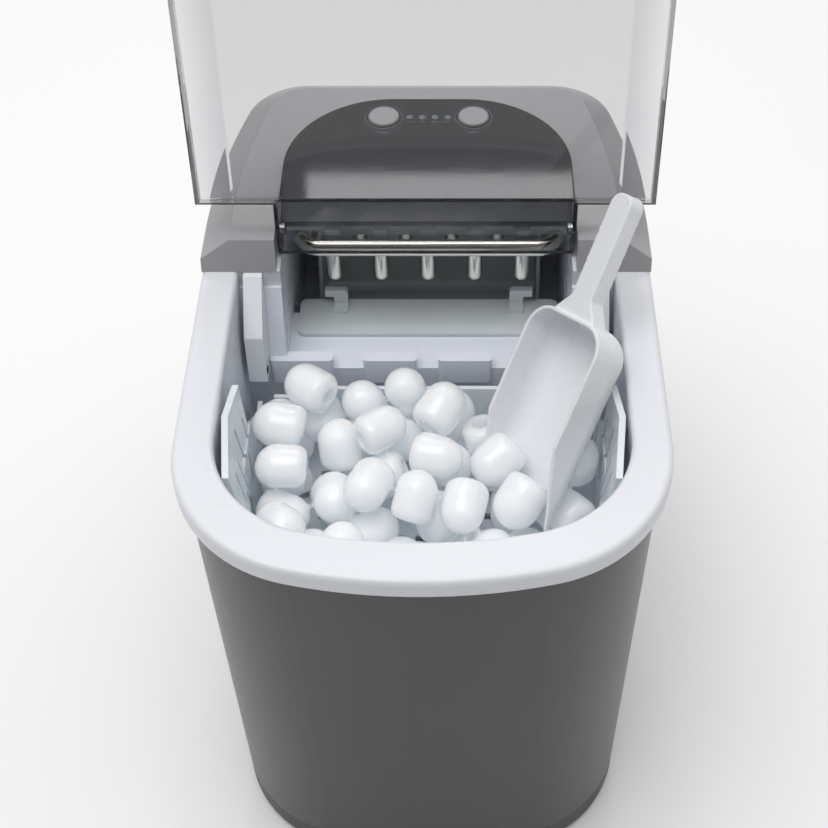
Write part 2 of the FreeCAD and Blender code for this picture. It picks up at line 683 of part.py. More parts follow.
def evaporator_bracket():
    """Moulded bar that holds the tube, screwed to the compartment's side walls."""
    bar = box((-78.8, 78.8), (62, 71), (RIM_TOP - 9, RIM_TOP - 3))
    teeth = []
    for step in range(-2, 3):
        x = step * FINGER_PITCH
        teeth.append(box((x - 4, x + 4), (58.0, 75.0), (RIM_TOP - 6, RIM_TOP - 3)))
    bracket = union([bar] + teeth)
    clear = [cylinder(TUBE_RADIUS + 0.2, (72, 50, TUBE_Z), (0, 1, 0), 60)]
    clear += [cylinder(TUBE_RADIUS + 0.2, (-90, y, TUBE_Z), (1, 0, 0), 180) for y in ROW_Y]
    clear.append(box((-90, -60), (50, 90), (TUBE_Z - 8, TUBE_Z + 5.3)))
    return bracket.cut(clear)


def tray_frozen():
    """Water tray in its place under the fingers, before it is emptied."""
    x_range = (-TRAY_HALF_WIDTH, TRAY_HALF_WIDTH)
    trough = box(x_range, TRAY_Y, TRAY_Z)
    bottom = [edge for edge in trough.Edges
              if abs(edge.CenterOfMass.z - TRAY_Z[0]) < 1e-6
              and abs(edge.tangentAt(edge.FirstParameter).x) > 0.9]
    trough = trough.makeFillet(8.0, bottom)
    inner = box((-TRAY_HALF_WIDTH + TRAY_WALL, TRAY_HALF_WIDTH - TRAY_WALL),
                (TRAY_Y[0] + TRAY_WALL, TRAY_Y[1] - TRAY_WALL),
                (TRAY_Z[0] + TRAY_WALL, TRAY_Z[1] + 1))
    inner_bottom = [edge for edge in inner.Edges
                    if abs(edge.CenterOfMass.z - TRAY_Z[0] - TRAY_WALL) < 1e-6
                    and abs(edge.tangentAt(edge.FirstParameter).x) > 0.9]
    inner = inner.makeFillet(6.0, inner_bottom)
    tray = trough.cut(inner)
    ears = []
    for side in (-1, 1):
        x_range = sorted((side * TRAY_HALF_WIDTH, side * (TRAY_HALF_WIDTH - TRAY_WALL)))
        plate = box(x_range, (TRAY_Y[1] - 4, TRAY_PIVOT_Y), (TRAY_PIVOT_Z - 6, TRAY_Z[1]))
        eye = cylinder(6.0, (x_range[0], TRAY_PIVOT_Y, TRAY_PIVOT_Z), (1, 0, 0), TRAY_WALL)
        ears += [plate, eye]
    lip = polygon([(-39, TRAY_Y[0], TRAY_Z[1] - 7), (39, TRAY_Y[0], TRAY_Z[1] - 7),
                   (34, TRAY_Y[0], TRAY_Z[1] + 1.5), (-34, TRAY_Y[0], TRAY_Z[1] + 1.5)])
    lip = lip.extrude(Vec(0, TRAY_WALL, 0))
    tray = union([tray, lip] + ears)
    shaft = cylinder(SHAFT_RADIUS, (-90, TRAY_PIVOT_Y, TRAY_PIVOT_Z), (1, 0, 0), 180)
    return tray.cut(shaft)


def water_tray():
    """Water tray tipped down to empty itself."""
    return turned(tray_frozen(), TRAY_PIVOT_Y, TRAY_PIVOT_Z, TRAY_DUMP_ANGLE)


def tray_shaft():
    """Rod through the tray's ears, running in the liner's side walls."""
    return cylinder(SHAFT_RADIUS, (-86, TRAY_PIVOT_Y, TRAY_PIVOT_Z), (1, 0, 0), 170)


def tray_motor():
    """Geared motor outside the compartment, with a socket for the shaft."""
    body = rounded_block((-108, -84), (84, 118), (TRAY_PIVOT_Z - 26, TRAY_PIVOT_Z + 7), 3.0)
    plate = box((-84, -81.7), (80, 120), (TRAY_PIVOT_Z - 10, TRAY_PIVOT_Z + 7))
    motor = union([body, plate])
    socket = cylinder(SHAFT_RADIUS + RUNNING_FIT, (-86.5, TRAY_PIVOT_Y, TRAY_PIVOT_Z), (1, 0, 0), 10)
    return motor.cut(socket)


def ice_shovel():
    """Flat pusher plate with rounded corners that clears the shelf."""
    z_range = (SHELF_Z + 0.3, SHELF_Z + 0.3 + SHOVEL_THICKNESS)
    plate = rounded_block((-SHOVEL_HALF_WIDTH, SHOVEL_HALF_WIDTH), SHOVEL_Y, z_range, 4.0)
    return plate


def shovel_brackets():
    """Stepped hooks at the back of the shovel that the tray linkage pulls."""
    bottom = SHELF_Z + 0.3 + SHOVEL_THICKNESS
    hooks = []
    for side in (-1, 1):
        x = side * 51.0
        foot = box((x - 4, x + 4), (47, 57), (bottom, bottom + 2.5))
        post = box((x - 4, x + 4), (53.5, 57), (bottom, RIM_TOP - 46))
        arm = box((x - 9 if side < 0 else x - 3, x + 3 if side < 0 else x + 9), (53.5, 57),
                  (RIM_TOP - 50, RIM_TOP - 45))
        hooks.append(union([foot, post, arm]))
    return group(hooks)


# ---- basket, ice and scoop ----------------------------------------------------------------------
def basket_wall_prism(inset, bottom, top):
    """Plan of the basket as a solid, drawn inset from its outside."""
    return mouth_prism(-BASKET_GAP - inset, BASKET_REAR_Y - inset, bottom, top)


def ear_plan(line, half, level):
    """Closed wire along a bent line on the left, a given amount to each side of it."""
    outer = [Vec(x - half, y, level) for x, y in line]
    inner = [Vec(x + half, y, level) for x, y in reversed(line)]
    return Part.makePolygon(outer + inner + outer[:1])


def basket_ear():
    """Tall side of the basket on the left, leaning out to a thick top edge."""
    crest = [(-95.5, -55.0), (-98.6, -76.0), (-94.0, -115.0)]
    root = [(-93.3, -55.0), (-93.3, -76.0), (-87.6, -115.0)]
    panel = Part.makeLoft([ear_plan(root, 1.2, EAR_ROOT), ear_plan(crest, 1.2, BASKET_EAR_TOP)],
                          True, True)
    bar = Part.Face(ear_plan(crest, 1.65, BASKET_EAR_TOP - 5)).extrude(Vec(0, 0, 5))
    return union([panel, bar])


def basket():
    """Translucent ice basket with slotted sides and two grips."""
    top = BASKET_FRONT_TOP
    wall = basket_wall_prism(0, BASKET_FLOOR, top)
    inner = basket_wall_prism(BASKET_WALL, BASKET_FLOOR + BASKET_WALL, top + 1)
    wall = wall.cut(inner)
    low_back = side_prism([(-40, top + 1), (-40, top), (-52, top), (-30, BASKET_REAR_TOP),
                           (10, BASKET_REAR_TOP), (10, top + 1)], 150)
    corner_steps = []
    for side in (-1, 1):
        x_range = sorted((side * 76.0, side * 120.0))
        corner_steps.append(box(x_range, (-30, 20), (BASKET_REAR_TOP - 7, top)))
    wall = wall.cut([low_back] + corner_steps)
    for side in (-1, 1):
        x_range = sorted((side * 86.0, side * 120.0))
        wall = wall.cut(box(x_range, (-13, 10), (BASKET_FLOOR - 1, top)))
    body = union([wall] + both_sides(basket_ear()))
    slots = []
    for side in (-1, 1):
        x_range = sorted((side * 80.0, side * 110.0))
        for number in range(7):
            y = -28 - number * 13
            low = BASKET_FLOOR + 12 + (number % 2) * 20
            slots.append(box(x_range, (y - 1.6, y + 1.6), (low, low + 24)))
        for y, low in EAR_SLOTS:
            slots.append(box(x_range, (y - 0.9, y + 0.9), (RIM_TOP + low, RIM_TOP + low + 25)))
    for number in range(-4, 5):
        for row in range(8):
            slots.append(box((number * 18 - 6, number * 18 + 6), (-130 + row * 15, -126 + row * 15),
                             (BASKET_FLOOR - 1, BASKET_FLOOR + 4)))
    slots = [slot for slot in slots if abs(slot.BoundBox.Center.y + 80) < 62]
    return body.cut(slots)


def scoop_axes():
    """Directions across, out of the mouth and up the trough of the scoop."""
    axis = Vec(SCOOP_AXIS).normalize()
    opening = Vec(SCOOP_OPENING)
    opening = (opening - axis * opening.dot(axis)).normalize()
    return opening.cross(axis), opening, axis


def scoop_placement():
    """Turns the scoop's own axes to where it stands in the ice."""
    across, opening, axis = scoop_axes()
    place = SCOOP_JUNCTION
    return FreeCAD.Placement(FreeCAD.Matrix(across.x, opening.x, axis.x, place.x,
                                            across.y, opening.y, axis.y, place.y,
                                            across.z, opening.z, axis.z, place.z,
                                            0, 0, 0, 1))


def scoop_bowl_form(inset, bottom):
    """Long rounded trough, drawn inset by a wall thickness."""
    half = SCOOP_HALF_WIDTH - inset
    depth = SCOOP_DEPTH - inset
    block = box((-half, half), (-depth, 20), (bottom, -inset))
    long_edges = [edge for edge in block.Edges
                  if abs(edge.tangentAt(edge.FirstParameter).z) > 0.9
                  and edge.CenterOfMass.y < 0]
    block = block.makeFillet(13.0 - inset, long_edges)
    end_edges = [edge for edge in block.Edges
                 if abs(edge.BoundBox.ZMin + inset) < 0.01 and edge.CenterOfMass.y < 19]
    return block.makeFillet(15.0 - inset, end_edges)


def scoop_rim_cut():
    """Everything above the slanted rim of the scoop."""
    tip = -SCOOP_LENGTH
    profile = [(0, 30), (0, -62), (-8, tip + 22), (-18, tip), (-60, tip), (-60, tip - 30),
               (40, tip - 30), (40, 30)]
    return polygon([(-60, y, z) for y, z in profile]).extrude(Vec(120, 0, 0))


def scoop_handle():
    """Flat handle with a round end and a flared root, tilted towards the mouth."""
    half = HANDLE_HALF_WIDTH
    face = -2.0
    back = -11.5
    bar = box((-half, half), (back, face), (-8, HANDLE_LENGTH))
    ends = [edge for edge in bar.Edges
            if abs(edge.tangentAt(edge.FirstParameter).y) > 0.9 and edge.CenterOfMass.z > 0]
    bar = bar.makeFillet(half - 1.2, ends)
    root = half + 9
    flare = polygon([(-root, back, -8), (root, back, -8), (root, back, -1), (half, back, 10),
                     (-half, back, 10), (-root, back, -1)])
    flare = flare.extrude(Vec(0, face - back, 0))
    return turned(union([bar, flare]), face, 0, -HANDLE_TILT)


def scoop():
    """Ice scoop: deep trough with a slanted mouth and a flat handle."""
    bottom = -SCOOP_LENGTH - 10
    hollow = scoop_bowl_form(SCOOP_WALL, bottom - 10)
    bowl = scoop_bowl_form(0, bottom).cut(hollow).cut(scoop_rim_cut())
    body = union([bowl, scoop_handle().cut(hollow)])
    body.Placement = scoop_placement()
    return body


# ---- ice ----------------------------------------------------------------------------------------
def nearest_on_segment(point, start, end):
    """Share of the way along a segment that is nearest to a point."""
    along = end - start
    share = (point - start).dot(along) / along.dot(along)
    return min(1.0, max(0.0, share))


def nearest_between(first, second):
    """Shares along two short segments where they come nearest, by alternation."""
    share = 0.5
    for _ in range(4):
        point = first[0] + (first[1] - first[0]) * share
        other = nearest_on_segment(point, *second)
        point = second[0] + (second[1] - second[0]) * other
        share = nearest_on_segment(point, *first)
    return share, other


def scoop_guard_points():
    """Points over the walls of the scoop that keep the ice off it."""
    placement = scoop_placement()
    half = SCOOP_HALF_WIDTH - 1
    points = []
    for step in range(15):
        z = -step * 7.4
        low_rim = -12.0 if step > 11 else -3.0
        points += [Vec(u * half / 3, 1 - SCOOP_DEPTH, z) for u in range(-3, 4)]
        points += [Vec(side * half, low_rim - lift * 7, z) for side in (-1, 1) for lift in range(3)]
    return [placement.multVec(point) for point in points]


def keep_in_basket(point, radius):
    """Moves a point so that a ball round it stays inside the basket."""
    shrink = BASKET_GAP + BASKET_WALL + radius
    limit_x = MOUTH_HALF_WIDTH - shrink
    x = min(limit_x, max(-limit_x, point.x))
    y = min(BASKET_REAR_Y - BASKET_WALL - radius, point.y)
    z = max(BASKET_FLOOR + BASKET_WALL + radius, point.z)
    centre_y = MOUTH_FRONT_Y + MOUTH_FRONT_RADIUS
    reach = MOUTH_FRONT_RADIUS - shrink
    distance = math.hypot(x, y - centre_y)
    if distance > reach:
        x = x * reach / distance
        y = centre_y + (y - centre_y) * reach / distance
    corner_x = MOUTH_HALF_WIDTH - MOUTH_CORNER_RADIUS
    span = MOUTH_FRONT_RADIUS - MOUTH_CORNER_RADIUS
    corner_y = centre_y - math.sqrt(span ** 2 - corner_x ** 2)
    side = 1 if x > 0 else -1
    across = abs(x) - corner_x
    along = y - corner_y
    limit = MOUTH_CORNER_RADIUS - shrink
    distance = math.hypot(across, along)
    if across > 0 and along < 0 and distance > limit:
        x = side * (corner_x + across * limit / distance)
        y = corner_y + along * limit / distance
    return Vec(x, y, z)


def settle_ice():
    """Core segments and radii of the pieces, dropped and pushed apart until they settle."""
    draw = random.Random(11)
    guards = scoop_guard_points()
    cores = []
    radii = []
    for number in range(ICE_COUNT):
        layer, place = divmod(number, 22)
        row, column = divmod(place, 6)
        centre = Vec(-72 + column * 29 + draw.uniform(-5, 5), -38 - row * 28 + draw.uniform(-5, 5),
                     BASKET_FLOOR + 18 + layer * 26)
        way = Vec(draw.uniform(-1, 1), draw.uniform(-1, 1), draw.uniform(-0.6, 0.6)).normalize()
        cores.append([centre - way * ICE_CORE / 2, centre + way * ICE_CORE / 2])
        radii.append(ICE_RADIUS * draw.uniform(0.9, 1.0))
    for turn in range(SETTLE_TURNS):
        fall = 0.9 * max(0.0, 1 - turn / (0.8 * SETTLE_TURNS))
        for core in cores:
            core[0] = core[0] - Vec(0, 0, fall)
            core[1] = core[1] - Vec(0, 0, fall)
        for i, first in enumerate(cores):
            middle = (first[0] + first[1]) * 0.5
            for j in range(i):
                second = cores[j]
                reach = radii[i] + radii[j] + ICE_GAP
                if middle.distanceToPoint((second[0] + second[1]) * 0.5) > reach + ICE_CORE:
                    continue
                share, other = nearest_between(first, second)
                here = first[0] + (first[1] - first[0]) * share
                there = second[0] + (second[1] - second[0]) * other
                distance = here.distanceToPoint(there)
                if distance < reach:
                    push = (here - there) * (0.5 * (reach - distance) / max(distance, 0.01))
                    first[0] = first[0] + push * (1.3 * (1 - share))
                    first[1] = first[1] + push * (1.3 * share)
                    second[0] = second[0] - push * (1.3 * (1 - other))
                    second[1] = second[1] - push * (1.3 * other)
            for guard in guards:
                reach = radii[i] + GUARD_RADIUS
                if abs(middle.x - guard.x) > reach + ICE_CORE:
                    continue
                share = nearest_on_segment(guard, *first)
                here = first[0] + (first[1] - first[0]) * share
                distance = here.distanceToPoint(guard)
                if distance < reach:
                    push = (here - guard) * ((reach - distance) / max(distance, 0.01))
                    first[0] = first[0] + push * (1 - share)
                    first[1] = first[1] + push * share
        for i, core in enumerate(cores):
            middle = (core[0] + core[1]) * 0.5
            way = (core[1] - core[0]).normalize() * (ICE_CORE / 2)
            core[0] = keep_in_basket(middle - way, radii[i] + ICE_GAP)
            core[1] = keep_in_basket(middle + way, radii[i] + ICE_GAP)
    return cores, radii


def ice_piece(radius):
    """One bullet of ice: domed end, flat end with a deep round hole."""
    edge = 6.0
    hole = 4.1
    stem = cylinder(radius, (0, 0, 0), (0, 0, 1), ICE_CORE + edge)
    rim = max(stem.Edges, key=lambda part: part.CenterOfMass.z)
    stem = stem.makeFillet(edge, [rim])
    dome = Part.makeSphere(radius, Vec(0, 0, 0))
    bore = cylinder(hole, (0, 0, 2), (0, 0, 1), ICE_CORE + edge)
    bore_end = Part.makeSphere(hole, Vec(0, 0, 2))
    return union([stem, dome]).cut([bore, bore_end])


def in_scoop(point):
    """Tells whether a point lies in the trough of the scoop."""
    local = scoop_placement().inverse().multVec(point)
    return (abs(local.x) < SCOOP_HALF_WIDTH and -SCOOP_DEPTH < local.y < 10
            and -SCOOP_LENGTH < local.z < 0)


def in_the_way(piece, scoop_body):
    """Tells whether a piece would stop the scoop from being lifted."""
    for travel in (3, 8, 14, 24):
        moved = scoop_body.copy()
        moved.translate(SCOOP_LIFT * travel)
        if piece.distToShape(moved)[0] < ICE_GAP / 2:
            return True
    return False


@lru_cache(maxsize=1)
def sorted_ice():
    """Pieces that lie in the basket and pieces that lie in the scoop, all clear of each other."""
    cores, radii = settle_ice()
    scoop_body = scoop()
    kept = []
    loose = []
    carried = []
    for (start, end), radius in zip(cores, radii):
        crowded = False
        for (low, high), other_radius in kept:
            share, other = nearest_between([start, end], [low, high])
            here = start + (end - start) * share
            there = low + (high - low) * other
            if here.distanceToPoint(there) < radius + other_radius + 0.02:
                crowded = True
        piece = ice_piece(radius)
        turn = FreeCAD.Rotation(Vec(0, 0, 1), end - start)
        piece.Placement = FreeCAD.Placement(start, turn)
        if crowded or piece.distToShape(scoop_body)[0] < 0.3:
            continue
        if in_scoop(piece.Solids[0].CenterOfMass):
            carried.append(piece)
        elif in_the_way(piece, scoop_body):
            continue
        else:
            loose.append(piece)
        kept.append(((start, end), radius))
    return loose, carried


def bullet_ice():
    """Loose ice in the basket."""
    return group(sorted_ice()[0])


def scoop_ice():
    """Ice that lies in the scoop and goes with it."""
    return group(sorted_ice()[1])


# ---- cooling unit -------------------------------------------------------------------------------
def compressor():
    """Welded steel pot on a foot plate, with its pipe stubs."""
    centre = (COMPRESSOR_X, COMPRESSOR_Y)
    pot = cylinder(COMPRESSOR_RADIUS, (*centre, COMPRESSOR_BOTTOM), (0, 0, 1),
                   COMPRESSOR_TOP - COMPRESSOR_BOTTOM)
    rims = [edge for edge in pot.Edges if edge.Closed and edge.Length > 200]
    pot = pot.makeFillet(22.0, rims)
    seam = cylinder(COMPRESSOR_RADIUS + 2, (*centre, 96), (0, 0, 1), 4)
    plate = rounded_block((COMPRESSOR_X - 46, COMPRESSOR_X + 46),
                          (COMPRESSOR_Y - 40, COMPRESSOR_Y + 40),
                          (COMPRESSOR_BOTTOM - 3, COMPRESSOR_BOTTOM + 1), 10.0)
    stubs = []
    for x, y, radius in ((-22, 108, 3.5), (-80, 104, 4.0), (-52, LINE_Y, 3.0)):
        stubs.append(cylinder(radius, (x, y, 130), (0, 0, 1), COMPRESSOR_STUBS - 130))
    holes = [cylinder(4.2, (x, y, 0), (0, 0, 1), 60) for x, y in mount_places()]
    return union([pot, seam, plate] + stubs).cut(holes)


def mount_places():
    """Where the foot plate stands on its rubber mounts."""
    return [(COMPRESSOR_X + dx, COMPRESSOR_Y + dy) for dx in (-38, 38) for dy in (-32, 32)]


def compressor_mounts():
    """Four rubber mounts between foot plate and base."""
    mounts = []
    floor = BASE_BOTTOM + BASE_WALL
    for x, y in mount_places():
        body = cylinder(8.0, (x, y, floor), (0, 0, 1), COMPRESSOR_BOTTOM - 3 - floor)
        neck = cylinder(4.0, (x, y, COMPRESSOR_BOTTOM - 3), (0, 0, 1), 6)
        mounts.append(union([body, neck]))
    return group(mounts)


def terminal_cover():
    """Plastic cap over the compressor's electrical terminals."""
    block = rounded_block((COMPRESSOR_X - 18, COMPRESSOR_X + 18),
                          (COMPRESSOR_Y - COMPRESSOR_RADIUS - 14, COMPRESSOR_Y - 20),
                          (104, 144), 4.0)
    pot = cylinder(COMPRESSOR_RADIUS, (COMPRESSOR_X, COMPRESSOR_Y, 80), (0, 0, 1), 80)
    return block.cut(pot)


def condenser_rows():
    """Heights of the straight runs of the condenser, from the top."""
    return [CONDENSER_BOTTOM + CONDENSER_PITCH * (CONDENSER_ROWS - 1 - row)
            for row in range(CONDENSER_ROWS)]


def condenser_coil():
    """Serpentine tube that gives off the heat."""
    left, right = 3.0, 105.0
    rows = condenser_rows()
    points = [(left, CONDENSER_Y, rows[0] + 24)]
    for number, z in enumerate(rows):
        ends = (left, right) if number % 2 == 0 else (right, left)
        points += [(x, CONDENSER_Y, z) for x in ends]
    points += [(left, 78, rows[-1]), (left, 78, 64)]
    return pipe(points, COIL_RADIUS, CONDENSER_PITCH / 2 - 0.01)


def condenser_fins():
    """Thin upright plates on the condenser tube, with a thicker one at each end."""
    rows = condenser_rows()
    fins = []
    for number in range(20):
        x = 16.0 + number * 4.0
        thickness = 1.6 if number in (0, 19) else 0.6
        fin = box((x, x + thickness), (CONDENSER_Y - 12, CONDENSER_Y + 12),
                  (rows[-1] - 10, rows[0] + 10))
        holes = [cylinder(COIL_RADIUS + 0.05, (x - 1, CONDENSER_Y, z), (1, 0, 0), 4) for z in rows]
        fins.append(fin.cut(holes))
    return group(fins)


def fan_shroud():
    """Ring round the fan blades with a spider that carries the motor."""
    start = 148.0
    ring = cylinder(FAN_RADIUS + 4, (FAN_X, start, FAN_Z), (0, 1, 0), 168 - start)
    ring = ring.cut(cylinder(FAN_RADIUS + 2, (FAN_X, start - 1, FAN_Z), (0, 1, 0), 30))
    arms = []
    for angle in (45, 135, 225, 315):
        arm = box((20, FAN_RADIUS + 3), (start, start + 3), (-3, 3))
        arm.rotate(Vec(0, 0, 0), Vec(0, 1, 0), angle)
        arms.append(arm.translated(Vec(FAN_X, 0, FAN_Z)))
    plate = cylinder(22.5, (FAN_X, start, FAN_Z), (0, 1, 0), 3)
    shroud = union([ring, plate] + arms)
    return shroud.cut(cylinder(6.0, (FAN_X, start - 1, FAN_Z), (0, 1, 0), 6))


def fan_motor():
    """Round motor on the spider, with the bearing for the fan's shaft."""
    body = cylinder(21.0, (FAN_X, 124, FAN_Z), (0, 1, 0), 24)
    body = body.makeFillet(3.0, [min(body.Edges, key=lambda edge: edge.CenterOfMass.y)])
    nose = cylinder(5.6, (FAN_X, 148, FAN_Z), (0, 1, 0), 4)
    motor = union([body, nose])
    return motor.cut(cylinder(FAN_SHAFT_RADIUS + RUNNING_FIT, (FAN_X, 128, FAN_Z), (0, 1, 0), 40))


def fan_shaft():
    """Shaft that turns in the motor and carries the blades."""
    return cylinder(FAN_SHAFT_RADIUS, (FAN_X, 129, FAN_Z), (0, 1, 0), FAN_Y[1] - 130)


def fan_blades():
    """Seven pitched blades on one hub."""
    low, high = FAN_Y
    hub = cylinder(13.0, (0, low, 0), (0, 1, 0), high - low)
    blades = [hub]
    for number in range(7):
        blade = box((10, FAN_RADIUS), (-0.8, 0.8), (-11, 11))
        blade.rotate(Vec(0, 0, 0), Vec(1, 0, 0), 28)
        blade.translate(Vec(0, (low + high) / 2, 0))
        blade.rotate(Vec(0, 0, 0), Vec(0, 1, 0), number * 360 / 7)
        blades.append(blade)
    fan = union(blades)
    sweep = cylinder(FAN_RADIUS, (0, low - 5, 0), (0, 1, 0), 25)
    fan = fan.common(sweep)
    fan = fan.cut(cylinder(FAN_SHAFT_RADIUS, (0, low - 5, 0), (0, 1, 0), 10 + FAN_Y[1] - low))
    return fan.translated(Vec(FAN_X, 0, FAN_Z))


def filter_drier():
    """Copper dryer bottle between condenser and capillary."""
    bottle = cylinder(8.0, (3, 78, 70), (0, 0, 1), 56)
    bottle = bottle.makeFillet(5.0, [edge for edge in bottle.Edges if edge.Closed])
    low = cylinder(4.2, (3, 78, 64), (0, 0, 1), 10)
    high = cylinder(2.0, (3, 78, 120), (0, 0, 1), 12)
    return union([bottle, low, high])


def capillary_tube():
    """Thin tube that feeds the evaporator."""
    points = [(3, 78, 132), (3, 78, 205), (3, 152, 205), (INLET_X, 152, 205),
              (INLET_X, 152, 232), (INLET_X, LINE_Y + 7, 232)]
    return pipe(points, 1.2, 6.0)


def inlet_tee():
    """Joint where the capillary and the hot gas line meet the evaporator."""
    body = cylinder(6.5, (INLET_X, LINE_Y, 225), (0, 0, 1), LINE_TOP - 225)
    nub = cylinder(2.5, (INLET_X, LINE_Y, 232), (0, 1, 0), 7)
    return union([body, nub])


def suction_line():
    """Return line from the evaporator to the compressor."""
    points = [(SUCTION_X, LINE_Y, LINE_TOP), (SUCTION_X, LINE_Y, 196), (-80, LINE_Y, 196),
              (-80, COMPRESSOR_Y, 196), (-80, COMPRESSOR_Y, COMPRESSOR_STUBS)]
    return pipe(points, 4.0, 12.0)


def discharge_line():
    """Line from the compressor to the condenser."""
    points = [(-22, 108, COMPRESSOR_STUBS), (-22, 108, 186), (3, 108, 186),
              (3, 108, condenser_rows()[0] + 24)]
    return pipe(points, COIL_RADIUS, 8.0)


def hot_gas_line():
    """Line through the valve that frees the ice, in two lengths."""
    z = 182
    inlet = pipe([(-52, LINE_Y, COMPRESSOR_STUBS), (-52, LINE_Y, z), (12, LINE_Y, z)], 3.0, 9.0)
    outlet = pipe([(28, LINE_Y, z), (INLET_X, LINE_Y, z), (INLET_X, LINE_Y, 225)], 3.0, 10.0)
    return group([inlet, outlet])


def hot_gas_valve():
    """Solenoid valve with its coil below."""
    body = rounded_block((12, 28), (LINE_Y - 8, LINE_Y + 8), (175, 189), 2.0)
    coil = cylinder(10.0, (20, LINE_Y, 153), (0, 0, 1), 22)
    return union([body, coil])


# ---- water ---------------------------------------------------------------------------------------
def water_pump():
    """Pump under the tank, with an open chamber for its impeller."""
    place = (PUMP_X, PUMP_Y)
    chamber = cylinder(20.0, (*place, 96), (0, 0, 1), 28)
    motor = cylinder(16.0, (*place, 60), (0, 0, 1), 36)
    neck = cylinder(5.7, (*place, 124), (0, 0, 1), TANK_FLOOR + 0.5 - 124)
    outlet = cylinder(4.5, (PUMP_X, PUMP_Y, 110), (0, 1, 0), 26)
    pump = union([chamber, motor, neck, outlet])
    hollow = cylinder(16.0, (*place, 100), (0, 0, 1), 20)
    inlet = cylinder(3.5, (*place, 118), (0, 0, 1), 30)
    spout = cylinder(2.8, (PUMP_X, PUMP_Y + 10, 110), (0, 1, 0), 20)
    bearing = cylinder(2.0 + RUNNING_FIT, (*place, 84), (0, 0, 1), 20)
    return pump.cut([hollow, inlet, spout, bearing])


def pump_impeller():
    """Six straight vanes on a disc and a shaft."""
    place = (PUMP_X, PUMP_Y)
    disc = cylinder(14.0, (*place, 102), (0, 0, 1), 2)
    shaft = cylinder(2.0, (*place, 86), (0, 0, 1), 22)
    vanes = []
    for number in range(6):
        vane = box((1, 13.5), (-0.8, 0.8), (103, 116))
        vane.rotate(Vec(0, 0, 0), Vec(0, 0, 1), number * 60)
        vanes.append(vane.translated(Vec(PUMP_X, PUMP_Y, 0)))
    return union([disc, shaft] + vanes)


def fill_hose():
    """Hose from the pump, behind the compartment and over its back wall to the tray."""
    points = [(PUMP_X, PUMP_Y + 26, 110), (PUMP_X, 34, 110), (-40, 34, 110), (-40, 34, 208.5),
              (-40, HOSE_BACK_Y, 208.5), (-40, HOSE_BACK_Y, RIM_TOP - 5), (-40, 91.5, RIM_TOP - 5),
              (-40, 91.5, RIM_TOP - 14)]
    return pipe(points, 3.5, 8.0, 2.2)


def drain_hose():
    """Hose from the tank's lowest point to the drain in the side."""
    points = [(DRAIN_X, DRAIN_Y, TANK_FLOOR), (DRAIN_X, DRAIN_Y, DRAIN_Z),
              (-100, DRAIN_Y, DRAIN_Z)]
    return pipe(points, 5.8, 16.0, 4.0)


def drain_fitting():
    """Flanged drain outlet through the casing."""
    pipe_end = cylinder(8.0, (-117.4, DRAIN_Y, DRAIN_Z), (1, 0, 0), 17.4)
    flange = cylinder(11.0, (-117.6, DRAIN_Y, DRAIN_Z), (1, 0, 0), 1.5)
    fitting = union([pipe_end, flange])
    return fitting.cut(cylinder(5.0, (-120, DRAIN_Y, DRAIN_Z), (1, 0, 0), 30))


def drain_plug():
    """Stopper with a ribbed head."""
    stem = cylinder(4.94, (-117.6, DRAIN_Y, DRAIN_Z), (1, 0, 0), 10)
    head = cylinder(8.5, (-120.8, DRAIN_Y, DRAIN_Z), (1, 0, 0), 3.2)
    grip = box((-120.95, -120.5), (DRAIN_Y - 7, DRAIN_Y + 7), (DRAIN_Z - 1.5, DRAIN_Z + 1.5))
    return union([stem, head, grip])


# ---- electronics and screws -----------------------------------------------------------------------
def main_board():
    """Upright circuit board in the front of the machine bay."""
    return box((-45, 45), (-92, -90.4), (34, 112))


def board_components():
    """Transformer, relays, capacitors and terminals on the main board."""
    face = -90.4
    parts = [box((-40, -8), (face, face + 24), (40, 68))]
    for number in range(3):
        low = 0 + number * 15
        parts.append(box((low, low + 12), (face, face + 15), (40, 56)))
    for number in range(3):
        x = -34 + number * 13
        parts.append(cylinder(5.0, (x, face, 82), (0, 1, 0), 18))
    parts.append(box((6, 40), (face, face + 9), (96, 106)))
    parts.append(box((8, 26), (face, face + 2.5), (68, 84)))
    return group(parts)


def panel_screws():
    """Four screws through the rear panel."""
    screws = []
    back = HALF_DEPTH - CASING_INSET
    for x, z in SCREW_PLACES:
        head = cylinder(3.2, (x, back, z), (0, 1, 0), 1.8)
        head = head.makeFillet(0.8, [max(head.Edges, key=lambda edge: edge.CenterOfMass.y)])
        shank = cylinder(1.55, (x, back - 9, z), (0, 1, 0), 9)
        slots = [box((x - 2, x + 2), (back + 1, back + 3), (z - 0.4, z + 0.4)),
                 box((x - 0.4, x + 0.4), (back + 1, back + 3), (z - 2, z + 2))]
        screws.append(union([head, shank]).cut(slots))
    return group(screws)


def base_screws():
    """Four screws up through the base."""
    screws = []
    for x, y in BASE_SCREWS:
        head = cylinder(3.2, (x, y, BASE_BOTTOM - 1.8), (0, 0, 1), 1.8)
        shank = cylinder(1.55, (x, y, BASE_BOTTOM), (0, 0, 1), 9)
        screws.append(union([head, shank]))
    return group(screws)


